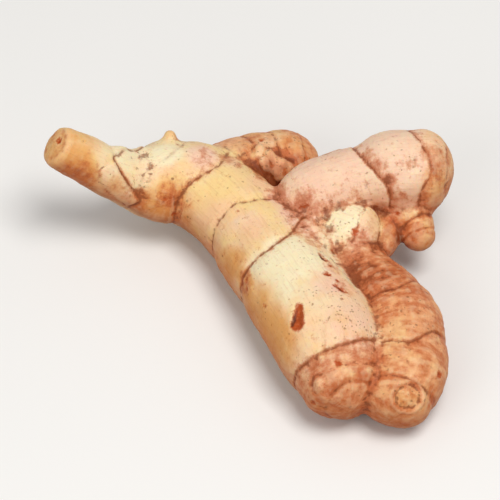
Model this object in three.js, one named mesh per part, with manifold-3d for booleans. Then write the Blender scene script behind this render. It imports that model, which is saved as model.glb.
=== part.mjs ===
// White turmeric: one fresh branched rhizome (a "hand"), lying on a flat surface as it would on a table.
// Units are millimetres, +Z is up, and the origin is the middle of the bounding box's underside.
//
// A rhizome is a swollen underground stem. It grows as a few thick limbs, each a chain of barrel-shaped
// internodes with a slight waist at every node, and side buds swell out between them. The whole hand is
// one living piece, so it is one solid: every limb is lofted along its own curved line, the limbs are
// joined, and the undersides that the hand rests on are pressed flat.
import * as THREE from "three";
import { LoftGeometry } from "three/addons/geometries/LoftGeometry.js";
import { mergeVertices } from "three/addons/utils/BufferGeometryUtils.js";
import Module from "manifold-3d";

const wasm = await Module();
wasm.setup();

// Driving dimensions.
const SCALE = 1; // the hand's size: 1 is a hand 130 mm wide
const NODE_WAIST = 0.045; // how far a node is drawn in, as a share of the radius
const WAIST_REACH = 1.8; // how far along the limb from a node its waist is felt
const STATION_STEP = 4; // spacing of the cross-sections between nodes
const CAP_RINGS = 4; // cross-sections in each rounded end
const CAP_SWEEP = THREE.MathUtils.degToRad(78); // how far a rounded end closes before its small flat tip
const HAND_CENTRE = new THREE.Vector2(2.35, -26.68); // the hand's middle from above, in its limbs' frame
const TABLE_SIDE = 400; // a block larger than the hand, for cutting its underside flat
const LINE_SAMPLES = 400; // how finely a limb's line is measured
const UP = new THREE.Vector3(0, 0, 1);

// Each limb: its line as [x, y, z, radius], its nodes as distances along that line, how many sides its
// cross-section has, and how blunt its first and last ends are (1 is a half ball, less is flatter).
const LIMBS = [
  {
    name: "main finger, from its blunt tip to the foot of the hand",
    line: [
      [-57.6, 1.0, 41.6, 7.0],
      [-51.0, 1.6, 36.0, 7.4],
      [-43.8, 2.4, 29.6, 7.9],
      [-38.0, 3.6, 25.0, 8.8],
      [-32.4, 5.2, 21.6, 11.4],
      [-23.8, 7.4, 19.2, 13.4],
      [-13.0, 5.6, 17.4, 14.2],
      [-1.4, -5.0, 15.4, 14.6],
      [7.6, -20.0, 14.8, 15.3],
      [16.2, -37.0, 15.5, 16.2],
      [24.9, -55.0, 15.9, 16.9],
      [29.2, -67.0, 15.4, 15.6],
      [31.4, -75.5, 14.4, 12.4],
    ],
    nodes: [25, 52, 77, 97, 141],
    sides: 26,
    blunt: [0.5, 0.7],
  },
  {
    name: "pink branch, rising off the back of the main finger",
    line: [
      [8.0, -7.0, 15.0, 9.0],
      [15.4, -5.2, 19.6, 8.0],
      [21.5, -3.2, 23.6, 10.3],
      [30.0, -1.0, 26.2, 10.5],
      [39.5, 1.0, 27.4, 11.0],
      [47.5, 2.2, 28.8, 13.3],
      [57.4, 3.0, 28.4, 13.3],
    ],
    nodes: [9, 37, 52],
    sides: 24,
    blunt: [0.9, 0.76],
  },
  {
    name: "short russet lobe behind",
    line: [
      [-10.0, 9.0, 15.0, 11.5],
      [2.0, 17.0, 12.6, 12.9],
      [14.4, 20.4, 11.6, 12.6],
    ],
    nodes: [13, 20],
    sides: 22,
    blunt: [0.9, 0.85],
  },
  {
    name: "old mother lobe",
    line: [
      [33.0, -20.0, 13.0, 9.0],
      [41.0, -34.0, 12.9, 11.6],
      [47.8, -45.0, 12.7, 13.5],
      [50.2, -58.0, 12.9, 13.9],
      [49.4, -70.0, 12.9, 13.4],
      [47.4, -78.0, 12.2, 11.4],
    ],
    nodes: [27, 43, 55],
    sides: 24,
    blunt: [0.9, 0.7],
  },
  {
    name: "collar where the branch and the mother lobe meet",
    line: [
      [30.0, -6.0, 16.5, 9.0],
      [43.4, -14.0, 15.4, 7.6],
    ],
    nodes: [],
    sides: 18,
    blunt: [1, 0.9],
  },
  {
    name: "cream side lump under the pink branch",
    line: [
      [27.0, -11.0, 18.4, 8.4],
      [35.6, -15.8, 19.8, 9.0],
    ],
    nodes: [],
    sides: 18,
    blunt: [1, 0.9],
  },
  {
    name: "bud under the pink branch's end",
    line: [
      [50.6, -3.6, 21.4, 7.0],
      [54.8, -11.0, 18.6, 6.4],
      [56.2, -14.6, 17.6, 5.6],
    ],
    nodes: [9],
    sides: 16,
    blunt: [1, 0.9],
  },
  {
    name: "side eye on the first internode",
    line: [
      [-26.4, 5.0, 18.8, 8.8],
      [-26.4, 1.6, 19.8, 9.2],
    ],
    nodes: [],
    sides: 18,
    blunt: [1, 0.85],
  },
  {
    name: "spur bud on top of the first internode",
    line: [
      [-24.6, 14.0, 26.0, 2.7],
      [-23.4, 17.0, 30.0, 2.0],
    ],
    nodes: [],
    sides: 10,
    blunt: [1, 1],
  },
];

/** A smooth line through a limb's points, and its radius along the same parameter. */
function curves(line) {
  const through = (points) => {
    const curve = new THREE.CatmullRomCurve3(points, false, "catmullrom", 0.5);
    curve.arcLengthDivisions = LINE_SAMPLES;
    return curve;
  };
  return {
    spine: through(line.map(([x, y, z]) => new THREE.Vector3(x, y, z))),
    girth: through(line.map(([, , , radius]) => new THREE.Vector3(radius, 0, 0))),
  };
}

/** One cross-section: a ring of points around the centre, square to the direction. */
function section(centre, direction, radius, sides) {
  const across = new THREE.Vector3().crossVectors(UP, direction).normalize();
  const over = new THREE.Vector3().crossVectors(direction, across);
  return Array.from({ length: sides }, (_, i) => {
    const angle = (i / sides) * 2 * Math.PI;
    return centre
      .clone()
      .addScaledVector(across, radius * Math.cos(angle))
      .addScaledVector(over, radius * Math.sin(angle));
  });
}

/** The rounded end of a limb, as cross-sections from its foot to its small flat tip. */
function roundedEnd(centre, direction, towards, radius, blunt, sides) {
  return Array.from({ length: CAP_RINGS }, (_, i) => {
    const sweep = (CAP_SWEEP * (i + 1)) / CAP_RINGS;
    const middle = centre.clone().addScaledVector(direction, towards * radius * blunt * Math.sin(sweep));
    return section(middle, direction, radius * Math.cos(sweep), sides);
  });
}

/** A closed geometry as a solid that can be joined and cut. */
function solidOf(geometry) {
  const bare = new THREE.BufferGeometry()
    .setAttribute("position", geometry.getAttribute("position"))
    .setIndex(geometry.index);
  const merged = mergeVertices(bare, 1e-4);
  return new wasm.Manifold(
    new wasm.Mesh({
      numProp: 3,
      vertProperties: merged.attributes.position.array,
      triVerts: new Uint32Array(merged.index.array),
    }),
  );
}

/** Distances along a limb where its cross-sections stand: evenly spaced, and three at every node. */
function stations(length, nodes) {
  const steps = Math.max(2, Math.round(length / STATION_STEP));
  const even = Array.from({ length: steps + 1 }, (_, i) => (i / steps) * length);
  const clear = even.filter((at) => nodes.every((node) => Math.abs(at - node) > 1.5 * WAIST_REACH));
  const atNodes = nodes.flatMap((node) => [node - WAIST_REACH, node, node + WAIST_REACH]);
  return [...clear, ...atNodes].sort((a, b) => a - b);
}

/** A limb: barrel-shaped internodes with a slight waist at each node, and rounded ends. */
function limb({ line, nodes, sides, blunt }) {
  const { spine, girth } = curves(line);
  const length = spine.getLength();
  const barrel = stations(length, nodes).map((at) => {
    const place = spine.getUtoTmapping(Math.min(1, at / length));
    const waist = nodes.includes(at) ? NODE_WAIST : 0;
    const radius = girth.getPoint(place).x * (1 - waist);
    return section(spine.getPoint(place), spine.getTangent(place), radius, sides);
  });
  const start = roundedEnd(spine.getPoint(0), spine.getTangent(0), -1, line[0][3], blunt[0], sides);
  const end = roundedEnd(spine.getPoint(1), spine.getTangent(1), 1, line.at(-1)[3], blunt[1], sides);
  const sections = [...start.reverse(), ...barrel, ...end];
  return solidOf(new LoftGeometry(sections, { capStart: true, capEnd: true }));
}

/** The space above the surface that the hand lies on. */
function spaceAboveTable() {
  return solidOf(new THREE.BoxGeometry(TABLE_SIDE, TABLE_SIDE, TABLE_SIDE).translate(0, 0, TABLE_SIDE / 2));
}

/** The joined limbs, pressed flat where the hand rests, as one geometry in the part's frame. */
function hand() {
  const joined = LIMBS.map(limb).reduce((whole, next) => whole.add(next));
  const { vertProperties, triVerts } = joined.intersect(spaceAboveTable()).getMesh();
  return new THREE.BufferGeometry()
    .setAttribute("position", new THREE.BufferAttribute(vertProperties, 3))
    .setIndex(new THREE.BufferAttribute(triVerts, 1))
    .translate(-HAND_CENTRE.x, -HAND_CENTRE.y, 0)
    .scale(SCALE, SCALE, SCALE);
}

const skin = new THREE.MeshStandardMaterial({ color: 0xecc08f, roughness: 0.62, metalness: 0 });
const rhizome = new THREE.Mesh(hand(), skin);
rhizome.name = "rhizome";

const whiteTurmeric = new THREE.Group();
whiteTurmeric.add(rhizome);

export default whiteTurmeric;
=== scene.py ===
"""White turmeric: the looks of one fresh rhizome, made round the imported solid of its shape.

The tables give millimetres in the limbs' own frame, as the part's source does, and the meshes are
made in metres in the part's frame. A place on a limb is its distance along the limb's line and its
angle round it in degrees: 90 is the top, and 180 is the side that the camera looks at.
"""

import math
from typing import NamedTuple

import bmesh
import bpy
import numpy as np
from mathutils import Matrix, Vector, noise


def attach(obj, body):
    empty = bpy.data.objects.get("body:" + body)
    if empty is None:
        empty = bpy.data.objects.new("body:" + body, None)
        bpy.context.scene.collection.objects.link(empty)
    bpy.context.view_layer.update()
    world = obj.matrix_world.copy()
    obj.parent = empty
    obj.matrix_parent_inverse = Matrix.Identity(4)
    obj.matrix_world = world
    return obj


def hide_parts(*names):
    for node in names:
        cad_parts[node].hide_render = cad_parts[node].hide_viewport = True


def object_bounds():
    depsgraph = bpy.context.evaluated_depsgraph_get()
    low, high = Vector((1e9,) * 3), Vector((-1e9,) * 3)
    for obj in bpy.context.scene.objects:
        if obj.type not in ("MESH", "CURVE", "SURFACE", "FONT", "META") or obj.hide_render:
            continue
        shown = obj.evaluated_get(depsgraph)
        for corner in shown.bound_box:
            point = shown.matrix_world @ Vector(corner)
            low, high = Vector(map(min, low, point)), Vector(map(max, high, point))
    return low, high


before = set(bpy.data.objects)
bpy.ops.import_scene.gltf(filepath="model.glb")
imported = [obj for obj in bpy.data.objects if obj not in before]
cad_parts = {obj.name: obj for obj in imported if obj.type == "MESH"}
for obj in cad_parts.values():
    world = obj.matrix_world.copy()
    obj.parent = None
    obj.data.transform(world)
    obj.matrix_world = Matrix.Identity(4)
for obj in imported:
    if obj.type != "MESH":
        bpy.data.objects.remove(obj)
cad_low, cad_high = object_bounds()

MM = 0.001
HAND_CENTRE = np.array([2.35, -26.68, 0.0])  # the hand's middle from above, in its limbs' frame
UP = np.array([0.0, 0.0, 1.0])
MESH_STEP = 0.605 * MM  # how far apart the skin's vertices stand
SPINE_STEP = 1.0  # how finely a limb's line is followed
FILLET = 1.0  # how softly two limbs run into each other
SETTLE_ROUNDS = 6  # times that the vertices are moved onto the limbs' surface
WELD = 1e-6  # vertices nearer to each other than this become one

# Each limb: its line as [x, y, z, radius], and how blunt its first and last ends are (1 is a half
# ball, less is flatter). They are the limbs of the part's source.
LIMB_LINES = {
    "finger": (
        [
            [-57.6, 1.0, 41.6, 7.0], [-51.0, 1.6, 36.0, 7.4], [-43.8, 2.4, 29.6, 7.9],
            [-38.0, 3.6, 25.0, 8.8], [-32.4, 5.2, 21.6, 11.4], [-23.8, 7.4, 19.2, 13.4],
            [-13.0, 5.6, 17.4, 14.2], [-1.4, -5.0, 15.4, 14.6], [7.6, -20.0, 14.8, 15.3],
            [16.2, -37.0, 15.5, 16.2], [24.9, -55.0, 15.9, 16.9], [29.2, -67.0, 15.4, 15.6],
            [31.4, -75.5, 14.4, 12.4],
        ],
        [0.5, 0.7],
    ),
    "branch": (
        [
            [8.0, -7.0, 15.0, 9.0], [15.4, -5.2, 19.6, 8.0], [21.5, -3.2, 23.6, 10.3],
            [30.0, -1.0, 26.2, 10.5], [39.5, 1.0, 27.4, 11.0], [47.5, 2.2, 28.8, 13.3],
            [57.4, 3.0, 28.4, 13.3],
        ],
        [0.9, 0.76],
    ),
    "lobe": ([[-10.0, 9.0, 15.0, 11.5], [2.0, 17.0, 12.6, 12.9], [14.4, 20.4, 11.6, 12.6]], [0.9, 0.85]),
    "mother": (
        [
            [33.0, -20.0, 13.0, 9.0], [41.0, -34.0, 12.9, 11.6], [47.8, -45.0, 12.7, 13.5],
            [50.2, -58.0, 12.9, 13.9], [49.4, -70.0, 12.9, 13.4], [47.4, -78.0, 12.2, 11.4],
        ],
        [0.9, 0.7],
    ),
    "collar": ([[30.0, -6.0, 16.5, 9.0], [43.4, -14.0, 15.4, 7.6]], [1, 0.9]),
    "lump": ([[27.0, -11.0, 18.4, 8.4], [35.6, -15.8, 19.8, 9.0]], [1, 0.9]),
    "bud": ([[50.6, -3.6, 21.4, 7.0], [54.8, -11.0, 18.6, 6.4], [56.2, -14.6, 17.6, 5.6]], [1, 0.9]),
    "eye": ([[-26.4, 5.0, 18.8, 8.8], [-26.4, 1.6, 19.8, 9.2]], [1, 0.85]),
    "spur": ([[-24.6, 14.0, 26.0, 2.7], [-23.4, 17.0, 30.0, 2.0]], [1, 1]),
}

# Shreds of old sheath that stand off the skin, as tubes: (limb, distance, angle, height, radius).
SHREDS = [
    [("lobe", 21.2, 128, 0.2, 1.1), ("lobe", 20.4, 119, 1.3, 1.0), ("lobe", 19.4, 110, 1.6, 0.8)],
    [("lobe", 25.0, 131, 0.0, 1.5), ("lobe", 23.6, 126, 0.9, 1.3)],
    [("lobe", 21.8, 143, 0.0, 1.3), ("lobe", 21.2, 137, 0.8, 1.0)],
    [("lobe", 17.0, 128, 0.0, 1.0), ("lobe", 16.0, 121, 0.9, 0.8)],
    [("lobe", 14.6, 108, 0.0, 0.9), ("lobe", 16.2, 100, 0.7, 0.6)],
]


def through(knots, steps):
    """A smooth curve through the knots, with that many even steps of its parameter to each span."""
    knots = np.asarray(knots, float)
    spans = len(knots) - 1
    ends = np.vstack([2 * knots[0] - knots[1], knots, 2 * knots[-1] - knots[-2]])
    place = np.linspace(0, spans, spans * steps + 1)
    span = np.minimum(place.astype(int), spans - 1)
    t = (place - span)[:, None]
    before, start, stop, after = (ends[span + i] for i in range(4))
    leave, arrive = (stop - before) / 2, (after - start) / 2
    cubic = 2 * start - 2 * stop + leave + arrive
    square = 3 * stop - 3 * start - 2 * leave - arrive
    return start + leave * t + square * t**2 + cubic * t**3


def unit(vectors):
    """The vectors at length one."""
    return vectors / np.linalg.norm(vectors, axis=-1, keepdims=True)


class Limb:
    """One limb of the hand as a smooth tube, which tells where any point is along, round and off it."""

    def __init__(self, line, blunt):
        knots = np.array(line, float)
        longest = np.linalg.norm(np.diff(knots[:, :3], axis=0), axis=1).max()
        path = through(knots, max(2, round(longest / SPINE_STEP)))
        self.centre = path[:, :3] - HAND_CENTRE
        self.radius = path[:, 3]
        self.blunt = blunt
        steps = np.linalg.norm(np.diff(self.centre, axis=0), axis=1)
        self.along = np.concatenate([[0], np.cumsum(steps)])
        self.tangent = unit(np.gradient(self.centre, self.along, axis=0))

    def directions(self, tangent):
        """The two directions square to the tangent: across, level with the table, and over."""
        across = unit(np.cross(UP, tangent))
        return across, np.cross(tangent, across)

    def place(self, along, angle, height=0.0):
        """The point at that distance, angle and height off the limb's surface, also on its round ends."""
        at = np.array([np.interp(along, self.along, self.centre[:, i]) for i in range(3)])
        tangent = unit(np.array([np.interp(along, self.along, self.tangent[:, i]) for i in range(3)]))
        across, over = self.directions(tangent)
        radius = np.interp(along, self.along, self.radius)
        past_end = along - np.clip(along, 0, self.along[-1])
        blunt = self.blunt[0] if past_end < 0 else self.blunt[1]
        reach = radius * math.sqrt(max(0.0, 1 - (past_end / (radius * blunt)) ** 2)) + height
        turn = math.radians(angle)
        return at + past_end * tangent + reach * (math.cos(turn) * across + math.sin(turn) * over)

    def measure(self, points):
        """For each point: height off the surface, way out, distance along, angle round and radius."""
        gaps = (points**2).sum(1)[:, None] - 2 * points @ self.centre.T + (self.centre**2).sum(1)
        nearest = gaps.argmin(1)
        tangent = self.tangent[nearest]
        step = ((points - self.centre[nearest]) * tangent).sum(1)
        along = self.along[nearest] + step
        inside = np.clip(along, 0, self.along[-1])
        centre = self.centre[nearest] + (inside - self.along[nearest])[:, None] * tangent
        radius = np.interp(inside, self.along, self.radius)
        past_end = along - inside
        flatten = np.where(past_end < 0, 1 / self.blunt[0], 1 / self.blunt[1]) - 1
        flatten = np.where(past_end == 0, 0, flatten)
        offset = points - centre
        offset = offset + (flatten * past_end)[:, None] * tangent
        reach = np.linalg.norm(offset, axis=1)
        outward = offset / reach[:, None]
        outward = unit(outward + (flatten * (outward * tangent).sum(1))[:, None] * tangent)
        across, over = self.directions(tangent)
        angle = np.degrees(np.arctan2((offset * over).sum(1), (offset * across).sum(1)))
        return {"height": reach - radius, "out": outward, "along": along, "angle": angle, "radius": radius}


LIMBS = {name: Limb(line, blunt) for name, (line, blunt) in LIMB_LINES.items()}


def shred_tube(knots):
    """A shred as a small tapered tube through its points, which is measured as a limb is."""
    line = []
    for limb, along, angle, height, radius in knots:
        line.append([*(LIMBS[limb].place(along, angle, height) + HAND_CENTRE), radius])
    return Limb(line, [1, 1])


def smooth_step(value, low, high):
    """0 below low, 1 above high, and a soft slope between."""
    t = np.clip((value - low) / (high - low), 0, 1)
    return t * t * (3 - 2 * t)


def band(distance, width):
    """1 on a line, falling softly to 0 on both sides of it."""
    return np.exp(-((distance / width) ** 2))


SPOT_CORE = 0.4  # a spot on the skin is felt fully within this share of its radius
SPOT_REACH = 1.5  # and no longer felt beyond this share of it
SEED_STEP = 17.3  # how far apart in the noise two seeds lie


def near(points, limb, along, angle, radius):
    """1 at a place on a limb, falling softly to 0 about one and a half radii away."""
    away = np.linalg.norm(points - LIMBS[limb].place(along, angle), axis=1)
    return 1 - smooth_step(away, SPOT_CORE * radius, SPOT_REACH * radius)


def grain(points, size, seed):
    """Smooth noise from about -1 to 1 at each point, with lumps of about that size."""
    places = points / size + SEED_STEP * seed
    return np.array([noise.noise(place) for place in places.tolist()])


def layered(points, layers):
    """Layers of noise added up, each with its amount, size and seed."""
    return sum(amount * grain(points, size, seed) for amount, size, seed in layers)


# Where limbs run together more softly than elsewhere: limb, distance, angle, radius, extra fillet.
SOFT_JOINS = [
    ("lump", 0.0, 150, 8.0, 1.5),
    ("mother", 4.0, 120, 9.0, 1.2),
    ("finger", 94.0, 50, 6.0, 1.0),
    ("spur", 0.0, 90, 4.0, 0.4),
]
CREASE_WIDTH = 1.6  # how far from the meeting of two limbs the crease between them is felt
CLEAR_GAP = 1.6  # skin is its limb's own where every other limb lies this far below it
SHRED_RISE = (0.1, 0.6)  # how far off the limbs a shred starts to count, and counts fully


class Surface:
    """The joined limbs, measured at a set of points."""

    def __init__(self, points, shreds):
        self.parts = {name: limb.measure(points) for name, limb in LIMBS.items()}
        every = list(self.parts.values()) + [shred.measure(points) for shred in shreds]
        heights = np.array([part["height"] for part in every])
        outs = np.array([part["out"] for part in every])
        self.blend(points, heights, outs)
        self.find_creases(heights, outs)
        self.find_clear(heights)

    def blend(self, points, heights, outs):
        """The height off the joined limbs and the way out, with soft joins, and each limb's share."""
        lowest = heights.min(0)
        fillet = FILLET + sum(extra * near(points, *spot) for *spot, extra in SOFT_JOINS)
        share = np.exp((lowest - heights) / fillet)
        total = share.sum(0)
        self.height = lowest - fillet * np.log(total)
        self.out = unit((share[:, :, None] * outs).sum(0))
        self.share = {name: share[i] / total for i, name in enumerate(self.parts)}
        self.on_shred = smooth_step(heights[: len(self.parts)].min(0) - lowest, *SHRED_RISE)

    def find_creases(self, heights, outs):
        """Which limb each point lies on, and how sharply it meets the next one there."""
        order = np.argsort(heights[: len(self.parts)], axis=0)
        self.owner = order[0]
        column = np.arange(heights.shape[1])
        first, second = heights[order[0], column], heights[order[1], column]
        turn = (outs[order[0], column] * outs[order[1], column]).sum(1)
        closeness = np.exp(-(second - first) / CREASE_WIDTH)
        self.crease = closeness * np.clip(1 - turn, 0, 1) * (1 - self.on_shred)

    def find_clear(self, heights):
        """For each limb, 1 where the skin is its own, and 0 where something else is as near."""
        self.clear = {}
        for i, name in enumerate(self.parts):
            others = np.delete(heights, i, 0).min(0)
            self.clear[name] = smooth_step(others - heights[i], 0.0, CLEAR_GAP)


def rough_mesh(shreds):
    """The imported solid, with balls along each shred that still overlap it."""
    shape = bmesh.new()
    shape.from_mesh(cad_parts["rhizome"].data)
    for shred in shreds:
        for centre, radius in zip(shred.centre, shred.radius):
            spot = Matrix.Translation(Vector(centre * MM)) @ Matrix.Scale(radius * MM, 4)
            bmesh.ops.create_icosphere(shape, subdivisions=2, radius=1, matrix=spot)
    bmesh.ops.remove_doubles(shape, verts=shape.verts, dist=WELD)
    rough = bpy.data.meshes.new("rough_skin")
    shape.to_mesh(rough)
    shape.free()
    return rough


def base_mesh(shreds):
    """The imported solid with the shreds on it, as one even mesh of small faces."""
    rough = rough_mesh(shreds)
    holder = bpy.data.objects.new("rough_skin", rough)
    bpy.context.scene.collection.objects.link(holder)
    remesh = holder.modifiers.new("even", "REMESH")
    remesh.mode = "VOXEL"
    remesh.voxel_size = MESH_STEP
    graph = bpy.context.evaluated_depsgraph_get()
    mesh = bpy.data.meshes.new_from_object(holder.evaluated_get(graph))
    bpy.data.objects.remove(holder)
    bpy.data.meshes.remove(rough)
    drop_specks(mesh)
    return mesh


def shells(shape):
    """The shape's separate shells, each as a list of its vertices."""
    waiting = set(shape.verts)
    found = []
    while waiting:
        shell = [waiting.pop()]
        for vertex in shell:  # the shell grows as it is walked
            joined = {edge.other_vert(vertex) for edge in vertex.link_edges} & waiting
            waiting -= joined
            shell.extend(joined)
        found.append(shell)
    return found


def drop_specks(mesh):
    """Keeps only the mesh's largest shell, because the remeshing can leave a speck in a narrow gap."""
    shape = bmesh.new()
    shape.from_mesh(mesh)
    specks = sorted(shells(shape), key=len)[:-1]
    bmesh.ops.delete(shape, geom=[vertex for speck in specks for vertex in speck], context="VERTS")
    shape.to_mesh(mesh)
    shape.free()


def read_points(mesh):
    """The mesh's vertices in millimetres."""
    flat = np.empty(3 * len(mesh.vertices), np.float32)
    mesh.vertices.foreach_get("co", flat)
    return flat.reshape(-1, 3).astype(float) / MM


def settle(points, shreds):
    """The points moved onto the joined limbs' smooth surface."""
    for _ in range(SETTLE_ROUNDS):
        surface = Surface(points, shreds)
        points = points - surface.height[:, None] * surface.out
    return points


class Ring(NamedTuple):
    """A ring at a node, where a leaf once sat."""

    limb: str
    waist: float  # how far the limb is drawn in there
    groove: float  # how deep its groove is
    lip: float  # how high its lip stands: above 0 on the side towards the limb's end, below 0 on the other
    ink: float  # how dark its line is drawn
    mottle: float  # how mottled the skin is beside it, on the side away from the lip
    line: list  # the way that it takes round its limb, as (angle, distance)


RINGS = [
    Ring("finger", 0.4, 0.5, -0.35, 0.9, 0.22, [
        (-176, 28.9), (-150, 28), (-90, 30), (0, 36), (46, 34), (70, 20.7), (95, 15.6), (103, 14.8),
        (115, 16.1), (134, 19.1), (149, 22.2), (168, 26.2),
    ]),
    Ring("finger", 0.25, 0.08, 0.08, 0.25, 0.1, [
        (-180, 34), (161, 27.5), (140, 26.8), (122, 27.3), (110, 31), (104, 36), (94, 39.8), (78, 43.3),
        (50, 46), (-60, 46),
    ]),
    Ring("finger", 0.6, 0.35, 0.2, 0.6, 0.3, [
        (-180, 44), (155, 44.4), (130, 51.0), (111, 54.6), (92, 56.6), (72, 56.3), (30, 54), (-60, 48),
        (-120, 45),
    ]),
    Ring("finger", 0.5, 0.25, 0.15, 0.5, 0.12, [
        (-160, 77), (151, 74.8), (125, 73.4), (108, 73.4), (94, 75.6), (57, 77.3), (0, 79), (-90, 79),
    ]),
    Ring("finger", 0.6, 0.35, -0.2, 0.6, 0.4, [
        (-170, 98.5), (125, 98.1), (105, 98.0), (86, 97.0), (70, 94.6), (45, 88), (0, 88), (-90, 95),
    ]),
    Ring("finger", 0.6, 0.35, -0.3, 0.6, 0.5, [
        (-160, 140), (130, 141.5), (76, 140.6), (40, 139), (-60, 139),
    ]),
    Ring("finger", 0.3, 0.25, 0.2, 0.35, 0.3, [(150, 154), (90, 152), (0, 153)]),
    Ring("branch", 0.5, 0.35, -0.5, 0.5, 0.45, [
        (-170, 40.6), (170, 41.6), (151, 41.2), (127, 39.0), (96, 35.0), (76, 33.5), (30, 33), (-40, 35),
        (-110, 38),
    ]),
    Ring("branch", 0.3, 0.25, -0.25, 0.35, 0.5, [
        (74, 50.2), (109, 54.2), (136, 55.0), (155, 51.9), (-150, 50), (-60, 47), (20, 48),
    ]),
    Ring("branch", 0.2, 0.25, -0.2, 0.35, 0.3, [(150, 60.5), (90, 61), (0, 60)]),
    Ring("mother", 0.5, 0.4, -0.4, 0.6, 0.4, [
        (150, 52), (99, 50.1), (81, 50.9), (71, 48.4), (49, 43.8), (0, 42), (-90, 46),
    ]),
    Ring("mother", 0.4, 0.25, 0.2, 0.3, 0.3, [(150, 27), (90, 29), (40, 26), (-60, 27)]),
    Ring("mother", 0.3, 0.25, -0.2, 0.35, 0.3, [(150, 63.5), (90, 62), (0, 61), (-90, 62)]),
    Ring("lobe", 0.5, 0.35, -0.3, 0.45, 0.4, [(150, 11), (110, 13.5), (84, 15.2), (30, 14), (-60, 13)]),
    Ring("lobe", 0.3, 0.25, 0.2, 0.25, 0.4, [(150, 22), (100, 24), (60, 23), (0, 21), (-90, 20)]),
    Ring("lobe", 0.3, 0.25, -0.2, 0.3, 0.3, [(150, 31), (90, 32), (0, 31)]),
    Ring("bud", 0.4, 0.3, -0.3, 0.5, 0.5, [(150, 9.5), (90, 9), (0, 8.5)]),
    Ring("bud", 0.2, 0.25, -0.3, 0.2, 0.3, [(150, 13.2), (90, 13.8), (0, 13)]),
]
RING_SMOOTHING = 24  # degrees over which a ring's line is rounded between its points
RING_REACH = 4.0  # how far from its line a ring is still told apart
LEAN_RADIUS = 7.0  # nearer the limb's middle than this, a line leans as it does here
GROOVE_WIDTH = 0.5
WAIST_WIDTH = 2.6
LIP_RISE = (-0.3, 0.35)  # from where to where, past the ring's line, its lip rises
LIP_FALL = 3.2  # how far the lip takes to die away
BESIDE_START = (-0.9, 0.1)  # from where to where, past the line, the mottling beside a ring comes up
BESIDE_FALL = 2.4  # how far that mottling reaches
INK_FADE = 2.5  # how far from its line a ring's ink starts to fade
WRINKLE_SIZE = (1.3, 1.3, 6.0)  # the wrinkles across each ring: their size round, out and along the limb
WRINKLE_SEED = 14
WRINKLE_DEPTH = 0.16
WRINKLE_REACH = 3.0  # how far from the ring's line they run


def past_line(line, part):
    """How far each point lies past a line round its limb, measured square to the line."""
    angles = np.arange(-180, 180)
    knots = sorted(line)
    level = np.interp(angles, [a for a, _ in knots], [s for _, s in knots], period=360)
    window = np.hanning(RING_SMOOTHING + 3)[1:-1]
    level = np.convolve(np.tile(level, 3), window / window.sum(), "same")[360:720]
    lean = np.interp(part["angle"], angles, np.gradient(level), period=360)
    lean /= np.radians(np.maximum(part["radius"], LEAN_RADIUS))
    past = part["along"] - np.interp(part["angle"], angles, level, period=360)
    return past / np.sqrt(1 + lean**2)


def ring_relief(ring, past, broken):
    """The height that a ring adds to the skin."""
    waist = -ring.waist * band(past, WAIST_WIDTH)
    groove = -ring.groove * broken * band(past, GROOVE_WIDTH)
    lip_side = past * np.sign(ring.lip)
    fall = np.exp(-np.clip(lip_side, 0, None) / LIP_FALL)
    return waist + groove + abs(ring.lip) * smooth_step(lip_side, *LIP_RISE) * fall


class Sheath(NamedTuple):
    """A piece of old sheath that still lies on the skin, between two lines round its limb."""

    limb: str
    start: list  # the line where it starts, as (angle, distance)
    stop: list  # the line where it ends
    thick: float
    edge: float  # how brown its edge is
    ragged: float  # how far its edge wanders
    tones: dict  # how much each tone changes on it


SHEATHS = [
    Sheath(
        limb="finger",
        start=[
            (100, 16.8), (115, 15.4), (149, 11.5), (178, 15.4), (-163, 21.4), (-150, 27), (-120, 28),
            (0, 20),
        ],
        stop=[
            (-176, 28.6), (-150, 28), (-90, 25), (0, 15), (60, 12), (96, 14.8), (115, 16.1), (134, 18.8),
            (149, 21.9), (168, 25.9),
        ],
        thick=0.4,
        edge=0.5,
        ragged=0.6,
        tones={"pink": 0.5, "amber": 0.1, "russet": 0.1, "mottle": 0.1},
    ),
    Sheath(
        limb="lump",
        start=[
            (40, 11.6), (70, 13.2), (90, 12.2), (112, 13.8), (130, 13.2), (165, 15.5), (-120, 15),
            (-40, 13),
        ],
        stop=[(0, 40)],
        thick=0.55,
        edge=0.6,
        ragged=2.0,
        tones={"cream": -0.5, "amber": 0.25, "pink": 0.4, "mottle": 0.15},
    ),
    Sheath(
        limb="lobe",
        start=[(150, 16), (130, 17), (110, 14.5), (95, 15.5), (70, 30), (-60, 30)],
        stop=[(150, 21), (130, 20), (110, 19), (95, 18), (70, 16), (-60, 16)],
        thick=0.35,
        edge=0.8,
        ragged=0.6,
        tones={"pink": 0.5, "russet": -0.35},
    ),
    Sheath(
        limb="branch",
        start=[(-60, 20), (-20, 23), (20, 20), (60, 40), (-100, 40), (180, 40)],
        stop=[(-60, 28), (-20, 33), (20, 30), (60, 30), (-100, 30), (180, 30)],
        thick=0.35,
        edge=0.5,
        ragged=0.6,
        tones={"russet": 0.4, "mottle": 0.2},
    ),
    Sheath(
        limb="finger",
        start=[(-10, 56), (-50, 58), (-90, 57), (40, 70), (-140, 70), (130, 90)],
        stop=[(-10, 62), (-50, 69), (-90, 66), (40, 60), (-140, 60), (130, 60)],
        thick=0.35,
        edge=0.5,
        ragged=0.6,
        tones={"pink": 0.6, "russet": 0.2},
    ),
]
SHEATH_RISE = (-0.1, 0.5)  # from where to where, inside its edge, a sheath comes up to its thickness
SHEATH_EDGE_AT = 0.2  # how far outside its edge the brown line along a sheath lies
SHEATH_EDGE_WIDTH = 0.5


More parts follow.
